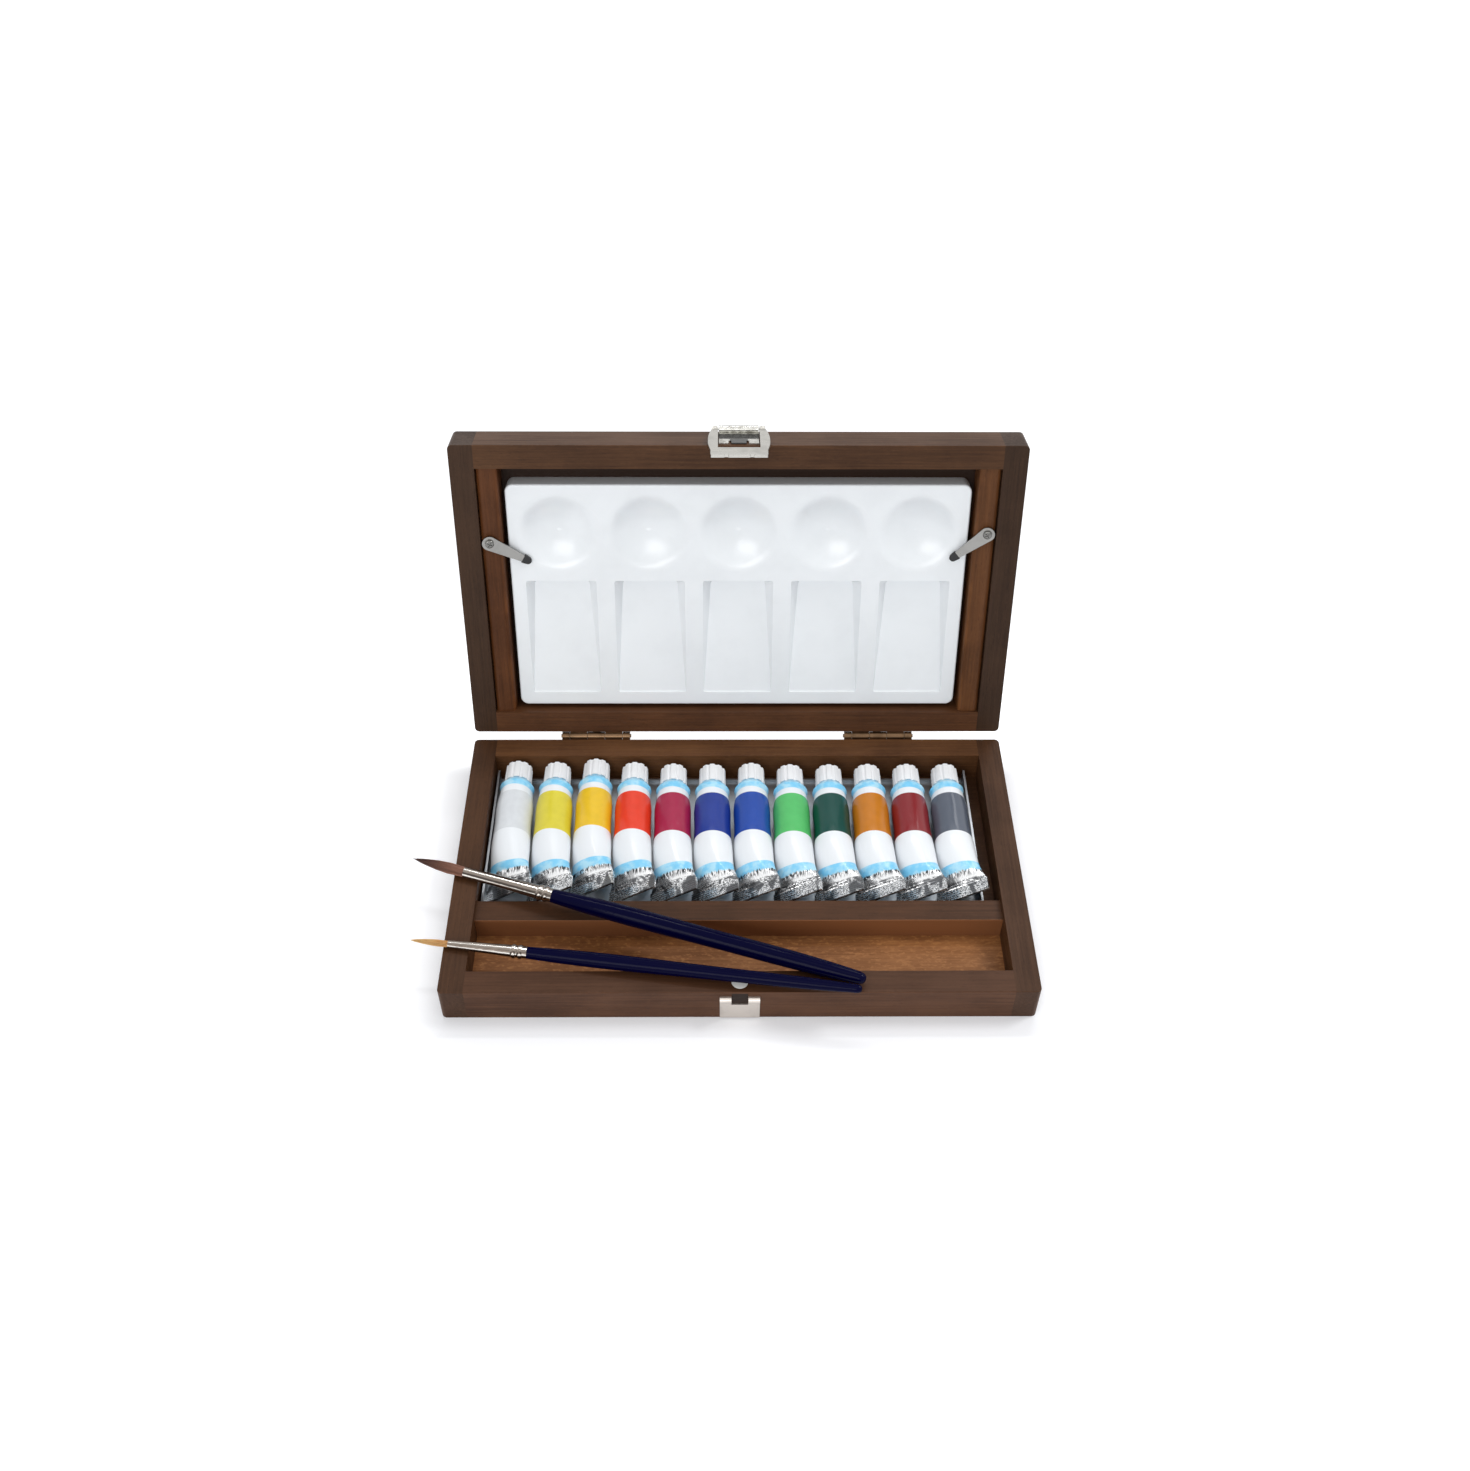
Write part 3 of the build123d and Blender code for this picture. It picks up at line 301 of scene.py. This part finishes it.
def tube_print(name, colour, tube_x, shoulder_y):
    """A printed metal tube: blue and white bands, the colour's own field, a white foot, crumpled foil with
    painted shade in its creases, ribs and crimp lines.
    """
    graph = Graph(name, Coat_Roughness=0.1, Specular_IOR_Level=0.3)
    place = graph.coords.outputs["Object"]
    x, y, z = graph.split(place)
    # Millimetres from the shoulder, and round the tube from the line along its top
    down = graph.math("MULTIPLY", graph.math("SUBTRACT", shoulder_y, y), 1000.0)
    aside = graph.math("SUBTRACT", x, tube_x)
    above = graph.math("SUBTRACT", z, tube_axis_z)
    around = graph.math("MULTIPLY", graph.math("ARCTAN2", aside, above), 1000 * tube_radius)
    waver = graph.noise(place, scale=60, detail=1)
    wavy = graph.swayed(down, waver, waver_width)

    from_arch = graph.math("SUBTRACT", around, arch_middle)
    arch = graph.math("MULTIPLY_ADD", graph.math("MULTIPLY", from_arch, from_arch), arch_curve, field_end)
    below_field = graph.math("SUBTRACT", down, arch)

    white = display(230, 234, 238)
    marks = graph.noise(place, scale=240, detail=3)
    ink = graph.mix(graph.span(marks, 0.3, 0.75, 0.0, 0.25), colour, scaled(colour, 0.75))
    sky = graph.mix(graph.span(marks, 0.35, 0.7), display(122, 202, 240), display(176, 224, 244))
    print_colour = graph.mix(graph.edge(wavy, band_end, 0.3), sky, white)
    print_colour = graph.mix(graph.edge(down, field_start, 0.15), print_colour, ink)
    print_colour = graph.mix(graph.edge(below_field, 0.0, 0.15), print_colour, white)
    print_colour = graph.mix(graph.edge(wavy, lower_band_start, 0.2), print_colour, sky)
    fringe = graph.noise(graph.mapped(place, scale=(1300, 160, 700)), detail=2)
    foil = graph.edge(graph.swayed(wavy, fringe, fringe_width), lower_band_end, 0.5)

    # Painted shade: the foil is darkened in its creases, its ribs and the crimp's lines
    crumple = graph.noise(graph.mapped(place, scale=(130, 80, 130)), detail=2, distortion=1.1)
    ribs = graph.noise(graph.mapped(place, scale=(1500, 90, 900)), detail=2, distortion=0.3)
    lines = graph.noise(
        graph.mapped(place, scale=(150, 2400, 2400), rotation=(0, 0, 0.25)), detail=1, distortion=0.2)
    crimped = graph.span(down, crimp_start - 0.6, crimp_start + 0.3)
    ribbed = graph.span(down, rib_end + 1.5, rib_end - 1.0)
    ribbed = graph.math("MULTIPLY", graph.span(ribs, 0.56, 0.42), ribbed)
    creased = graph.math("MULTIPLY", graph.span(crumple, 0.45, 0.33), 0.55)
    lined = graph.math("MAXIMUM", graph.span(lines, 0.56, 0.42), graph.span(crumple, 0.5, 0.4))
    painted_fold_shade = graph.fade(
        crimped, graph.math("MAXIMUM", creased, ribbed), graph.math("MULTIPLY", lined, 0.9))
    silver = graph.mix(painted_fold_shade, display(244, 245, 246), display(62, 64, 68))
    print_colour = graph.mix(foil, print_colour, silver)

    dents = graph.noise(place, scale=150, detail=3, distortion=0.6)
    folds = graph.math("SINE", graph.math("MULTIPLY", down, 5.2))
    height = graph.math("MULTIPLY_ADD", crumple, 1.4, dents)
    low_ribs = graph.math("MULTIPLY", ribs, graph.span(down, rib_end + 1, rib_end))
    height = graph.math("MULTIPLY_ADD", low_ribs, 0.4, height)
    rumpled = graph.span(down, lower_band_start - 8, lower_band_end + 2, 0.1, 1.0)
    height = graph.math("MULTIPLY", height, rumpled)
    height = graph.math("MULTIPLY_ADD", graph.math("MULTIPLY", folds, crimped), 0.25, height)
    return graph.surface(
        Base_Color=print_colour,
        Metallic=graph.math("MULTIPLY", foil, 0.9),
        Roughness=graph.math("MULTIPLY_ADD", foil, -0.06, 0.32),
        Coat_Weight=graph.math("MULTIPLY_ADD", foil, -0.3, 0.35),
        Normal=graph.bump(height, 0.32, 0.0007))


# The field's colour on each tube, from left to right
tube_colours = (
    display(214, 218, 222), display(218, 204, 58), display(232, 190, 36), display(228, 60, 30),
    display(162, 26, 68), display(28, 54, 142), display(26, 70, 162), display(84, 188, 104),
    display(0, 68, 60), display(194, 118, 22), display(130, 28, 34), display(86, 93, 106))

# Painted shade in the notch between the striker's ears and on the floor of the tube compartment, painted
# light on the divider's face towards the trough
painted_light_and_shade_boxes = {
    "base_front_rail": ((-0.0037, -0.2, 0.0112), (0.0037, -0.0776, 0.0186), 0.95, display(34, 22, 16)),
    "base_floor": ((-0.2, -0.03, -0.1), (0.2, 0.2, 0.1), 0.85, display(46, 28, 19)),
    "base_divider": ((-0.2, -0.2, -0.1), (0.2, -0.0348, 0.1), 0.85, display(142, 92, 58)),
}
# Painted shade on the lid panel's face behind the palette, and a little on the top of the front rail
painted_shade_sides = {
    "lid_panel": (lid_facing, 0.92, display(36, 21, 13)),
    "base_front_rail": ((0.0, 0.0, 1.0), 0.4, display(52, 32, 19)),
}
# Grain direction, whether the board is in the lid, and its dark and light tones
base_side = ("y", False, display(47, 28, 15), display(78, 50, 30))
lid_side = ("y", True, display(41, 26, 16), display(68, 47, 32))
wood_finishes = {
    "base_side_left": base_side,
    "base_side_right": base_side,
    "base_front_rail": ("x", False, display(58, 34, 20), display(96, 62, 40)),
    "base_back_rail": ("x", False, display(66, 40, 22), display(108, 72, 44)),
    "base_divider": ("x", False, display(46, 28, 15), display(80, 50, 30)),
    "base_floor": ("x", False, display(104, 62, 32), display(160, 108, 64)),
    "lid_side_left": lid_side,
    "lid_side_right": lid_side,
    "lid_front_rail": ("x", True, display(54, 33, 19), display(90, 60, 37)),
    "lid_back_rail": ("x", True, display(58, 34, 19), display(96, 61, 37)),
    "lid_panel": ("x", True, display(50, 31, 19), display(84, 56, 36)),
    "batten_left": ("y", True, display(60, 32, 14), display(98, 58, 30)),
    "batten_right": ("y", True, display(68, 40, 20), display(108, 68, 38)),
}
seed_step = 3.7
board_figure = 0.05
floor_figure = 0.3


def finish(material, *node_names):
    """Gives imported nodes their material."""
    for node_name in node_names:
        mesh = nodes[node_name].data
        mesh.materials.clear()
        mesh.materials.append(material)


for number, (node, (along, in_lid, dark, light)) in enumerate(wood_finishes.items()):
    figure = floor_figure if node == "base_floor" else board_figure
    timber = wood(
        f"wood_{node}", dark, light, along, in_lid, seed_step * number, figure,
        painted_light_and_shade_boxes.get(node), painted_shade_sides.get(node))
    finish(timber, node)

palette_plastic = moulded(
    "palette_plastic", display(237, 241, 244), 0.34, grain=500, depth=0.004, coat=0.5, coat_roughness=0.22,
    soft=0.05)
cap_plastic = moulded("cap_plastic", display(240, 241, 243), 0.36, grain=1200, depth=0.05, soft=0.08)
pad_rubber = moulded("pad_rubber", display(232, 232, 228), 0.6, grain=1800, depth=0.1)
tip_rubber = moulded("tip_rubber", display(28, 28, 30), 0.55, grain=1600, depth=0.1)
lacquer = moulded("navy_lacquer", display(2, 2, 38), 0.1, grain=260, depth=0.004, Specular_IOR_Level=0.05)
nickel = metal("nickel_plate", display(190, 188, 182), 0.28, tarnish=0.35)
striker_nickel = metal("striker_nickel", display(212, 204, 196), 0.36, tarnish=0.3)
clip_nickel = metal("clip_nickel", display(150, 149, 146), 0.3, tarnish=0.2)
bronze = metal("hinge_bronze", display(112, 88, 66), 0.34, tarnish=0.8)
steel = metal("screw_steel", display(190, 190, 188), 0.3, tarnish=0.3, scratch_axis=2)
screw_nickel = metal("screw_nickel", display(118, 117, 114), 0.22, tarnish=0.5, scratch_axis=2)
tray_metal = metal("tray_sheet", display(172, 176, 180), 0.34, tarnish=0.3, scratch_axis=1)

finish(palette_plastic, "palette")
finish(pad_rubber, "closing_pad")
finish(tip_rubber, "clip_left_tip", "clip_right_tip")
finish(nickel, "catch_hasp")
finish(striker_nickel, "striker_plate")
finish(clip_nickel, "clip_left", "clip_right")
finish(catch_metal(), "catch_plate")
finish(bronze, "hinge_leaves_base", "hinge_leaves_lid", "hinge_pins")
finish(steel, "hinge_screws_base", "hinge_screws_lid", "catch_pin")
finish(screw_nickel, "clip_screws")
finish(tray_metal, "tube_tray")
finish(lacquer, "brush_large_handle", "brush_small_handle")
finish(ferrule_metal(), "brush_large_ferrule", "brush_small_ferrule")
for number, colour in enumerate(tube_colours):
    label = f"{number + 1:02d}"
    finish(tube_print(f"print_{label}", colour, tube_xs[number], tube_shoulder_ys[number]), f"tube_{label}")
    finish(cap_plastic, f"cap_{label}")


def hair_material(name, root_colour, tip_colour, mouth, heading, length):
    """Hair that runs from its root colour to its tip colour, with its own tone from strand to strand."""
    graph = Graph(name, Specular_IOR_Level=0.4)
    place = graph.coords.outputs["Object"]
    local = graph.mapped(place, location=[-value for value in mouth])
    local = graph.mapped(local, rotation=(0, 0, -heading))
    along = graph.math("DIVIDE", graph.split(local)[0], -length)
    strand_tone = graph.noise(graph.mapped(local, scale=(30, 3000, 3000)), detail=1)
    colour = graph.mix(graph.span(along, 0.05, 0.9), root_colour, tip_colour)
    pale_strands = graph.span(strand_tone, 0.45, 0.75, 0.0, 0.6)
    return graph.surface(
        Base_Color=graph.mix(pale_strands, colour, scaled(tip_colour, 1.8)),
        Roughness=0.42,
        Normal=graph.bump(strand_tone, 0.3, 0.0002))


def tuft(name, body, node, mouth, heading, slope, root, length, belly, count, material, seed):
    """Fine tapered hairs that share one pointed shape with a slight scatter."""
    chance = random.Random(seed)
    along = Vector((-math.cos(heading), -math.sin(heading), -slope)).normalized()
    side = Vector((-math.sin(heading), math.cos(heading), 0))
    up = Vector((0, 0, 1))
    levels = (0.0, 0.15, 0.35, 0.6, 0.8, 0.93, 1.0)
    belly_place = 0.35
    tip_spread = 0.06
    outer_shortening = 0.2
    lean_scatter = 0.03
    hair_thickness = 0.62
    tip_thinning = 0.9
    least_width = 0.35
    root_depth = 0.0006
    golden_turn = math.pi * (3 - math.sqrt(5))
    vertices = []
    faces = []
    for k in range(count):
        share = math.sqrt((k + 0.5) / count)
        turn = k * golden_turn
        end = 1 - outer_shortening * share * chance.uniform(0.5, 1.0)
        lean = chance.gauss(0, lean_scatter)
        thickness = hair_thickness * root / math.sqrt(count) * chance.uniform(0.8, 1.2)
        first = len(vertices)
        for level in levels:
            place = level * end
            if place < belly_place:
                spread = 1 + (belly - 1) * math.sin(place / belly_place * math.pi / 2)
            else:
                taper = 1 - ((place - belly_place) / (1 - belly_place)) ** 1.35
                spread = tip_spread + (belly - tip_spread) * taper
            radius = root * share * spread
            bend = turn + lean * place
            middle = Vector(mouth) + along * (place * length - root_depth)
            middle += side * (radius * math.cos(bend)) + up * (radius * math.sin(bend))
            width = thickness * (1 - tip_thinning * level ** 3)
            width *= least_width + (1 - least_width) * spread / belly
            for corner in range(3):
                angle = turn + corner * 2 * math.pi / 3
                vertices.append(middle + side * (width * math.cos(angle)) + up * (width * math.sin(angle)))
        for ring in range(len(levels) - 1):
            for corner in range(3):
                a = first + 3 * ring + corner
                b = first + 3 * ring + (corner + 1) % 3
                faces.append((a, b, b + 3, a + 3))
    mesh = bpy.data.meshes.new(name)
    mesh.from_pydata([tuple(vertex) for vertex in vertices], [], faces)
    mesh.update()
    for polygon in mesh.polygons:
        polygon.use_smooth = True
    piece = bpy.data.objects.new(name, mesh)
    bpy.context.scene.collection.objects.link(piece)
    mesh.materials.append(material)
    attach(piece, body)
    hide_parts(node)


# Brushes: where the hair leaves the ferrule, which way the brush points, and the hair's length
large_heading = math.radians(-18.49)
small_heading = math.radians(-8.28)
large_mouth = (-0.1297, -0.0117, 0.02258)
small_mouth = (-0.1325, -0.0527, 0.02181)
large_hair = 0.0284
small_hair = 0.0196
brown_hair = hair_material(
    "hair_brown", display(176, 128, 108), display(96, 68, 60), large_mouth, large_heading, large_hair)
golden_hair = hair_material(
    "hair_golden", display(228, 172, 108), display(252, 214, 150), small_mouth, small_heading, small_hair)
tuft("large_tuft", "brush_large", "brush_large_hair", large_mouth, large_heading, slope=0.0065,
     root=0.00222, length=large_hair, belly=1.22, count=900, material=brown_hair, seed=5)
tuft("small_tuft", "brush_small", "brush_small_hair", small_mouth, small_heading, slope=0.017,
     root=0.00142, length=small_hair, belly=1.1, count=600, material=golden_hair, seed=8)


# Floor: where its painted shadow, a lower lift near the box, ends round the box, and how much it is lifted
# towards white
footprint_x = 0.132
footprint_y = 0.078
side_weight = 3.0
painted_shadow_reach = 0.06
painted_shadow_lift = 0.14
far_lift = 0.34
horizon_places = (0.3, 2.0)
horizon_lift = 0.3
# Slot behind the base that gets painted light, from front to back and from its sides inwards
slot_depths = (0.07, 0.085, 0.16, 0.22)
slot_sides = (0.17, 0.13)
painted_light_slot_lift = 0.5


def floor_material():
    """Pale floor that keeps the box's shadow, adds a painted shadow of less lift round the box, and painted
    light, more lift, in the slot between the lid and the base.
    """
    graph = Graph("studio_floor", Roughness=0.9)
    rays = graph.add("ShaderNodeLightPath", {})
    seen = graph.math("MAXIMUM", rays.outputs["Is Camera Ray"], rays.outputs["Is Glossy Ray"])
    seen = graph.math("MAXIMUM", seen, rays.outputs["Is Transmission Ray"])
    x, y, z = graph.split(graph.coords.outputs["Object"])
    behind = graph.between(y, *slot_depths)
    # Painted light in the slot behind the base
    painted_light_slot = graph.math("MULTIPLY", behind, graph.span(graph.math("ABSOLUTE", x), *slot_sides))
    past_side = graph.math("SUBTRACT", graph.math("ABSOLUTE", x), footprint_x)
    past_front = graph.math("SUBTRACT", graph.math("ABSOLUTE", y), footprint_y)
    past = graph.math("MAXIMUM", graph.math("MULTIPLY", past_side, side_weight), past_front)
    # Painted shadow: less lift near the box's footprint
    lift = graph.span(past, 0.0, painted_shadow_reach, painted_shadow_lift, far_lift)
    lift = graph.math("MULTIPLY_ADD", painted_light_slot, painted_light_slot_lift, lift)
    lift = graph.math("ADD", lift, graph.span(past, *horizon_places, 0.0, horizon_lift))
    return graph.surface(
        Base_Color=(0.80, 0.81, 0.84, 1.0),
        Emission_Color=(1.0, 1.0, 1.0, 1.0),
        Emission_Strength=graph.math("MULTIPLY", seen, lift))


half = 6
floor_corners = [(-half, -half, 0), (half, -half, 0), (half, half, 0), (-half, half, 0)]
floor_mesh = bpy.data.meshes.new("studio_floor")
floor_mesh.from_pydata(floor_corners, [], [(0, 1, 2, 3)])
floor_mesh.materials.append(floor_material())
studio_floor = bpy.data.objects.new("studio_floor", floor_mesh)
bpy.context.scene.collection.objects.link(studio_floor)
studio_floor.location.z = -0.00005

# The world lights the box at one level, and is white where it is seen
world_level = 0.6
world = bpy.data.worlds.new("studio")
world.use_nodes = True
tree = world.node_tree
background = tree.nodes["Background"]
rays = tree.nodes.new("ShaderNodeLightPath")
seen = tree.nodes.new("ShaderNodeMath")
seen.operation = "MAXIMUM"
tree.links.new(rays.outputs["Is Camera Ray"], seen.inputs[0])
tree.links.new(rays.outputs["Is Glossy Ray"], seen.inputs[1])
direct = tree.nodes.new("ShaderNodeMath")
direct.operation = "MAXIMUM"
tree.links.new(seen.outputs[0], direct.inputs[0])
tree.links.new(rays.outputs["Is Transmission Ray"], direct.inputs[1])
level = tree.nodes.new("ShaderNodeMapRange")
level.inputs["To Min"].default_value = world_level
level.inputs["To Max"].default_value = 1.0
tree.links.new(direct.outputs[0], level.inputs["Value"])
tree.links.new(level.outputs[0], background.inputs["Strength"])
background.inputs["Color"].default_value = (1.0, 1.0, 1.0, 1.0)
bpy.context.scene.world = world


def area_light(name, place, target, width, height, power):
    lamp = bpy.data.lights.new(name, "AREA")
    lamp.shape = "RECTANGLE"
    lamp.size = width
    lamp.size_y = height
    lamp.energy = power
    holder = bpy.data.objects.new(name, lamp)
    holder.location = place
    holder.rotation_euler = (Vector(target) - Vector(place)).to_track_quat("-Z", "Y").to_euler()
    bpy.context.scene.collection.objects.link(holder)


# Place, target, width and height in metres, and power in watts
area_light("key", (0.8, 0.2, 1.05), (0, 0, 0.03), 0.3, 0.3, 4.8)
area_light("strip", (0.0, 0.6, 1.25), (0, 0, 0.03), 0.9, 0.06, 2.6)
area_light("top", (0.1, -0.3, 1.3), (0, 0, 0.03), 0.6, 0.6, 0.8)
area_light("fill", (-0.4, -1.1, 0.75), (0, 0, 0.06), 0.9, 0.6, 6.4)
area_light("rim", (0.45, 0.85, 0.95), (0, 0, 0.05), 0.3, 0.3, 1.2)

# Camera that was fitted to the box's corners
pitch = math.radians(46.30)
yaw = math.radians(0.79)
roll = math.radians(0.54)
forward = Vector((math.sin(yaw) * math.cos(pitch), math.cos(yaw) * math.cos(pitch), -math.sin(pitch)))
level_right = Vector((math.cos(yaw), -math.sin(yaw), 0))
level_up = level_right.cross(forward)
right = level_right * math.cos(roll) + level_up * math.sin(roll)
up = level_up * math.cos(roll) - level_right * math.sin(roll)
camera_data = bpy.data.cameras.new("photo_camera")
camera_data.sensor_width = 36.0
camera_data.lens = 37.23
camera = bpy.data.objects.new("photo_camera", camera_data)
place = Vector((-0.008617, -0.462924, 0.588324))
camera.matrix_world = Matrix((
    (right.x, up.x, -forward.x, place.x),
    (right.y, up.y, -forward.y, place.y),
    (right.z, up.z, -forward.z, place.z),
    (0, 0, 0, 1)))
bpy.context.scene.collection.objects.link(camera)
bpy.context.scene.camera = camera
bpy.context.scene.view_settings.view_transform = "Standard"
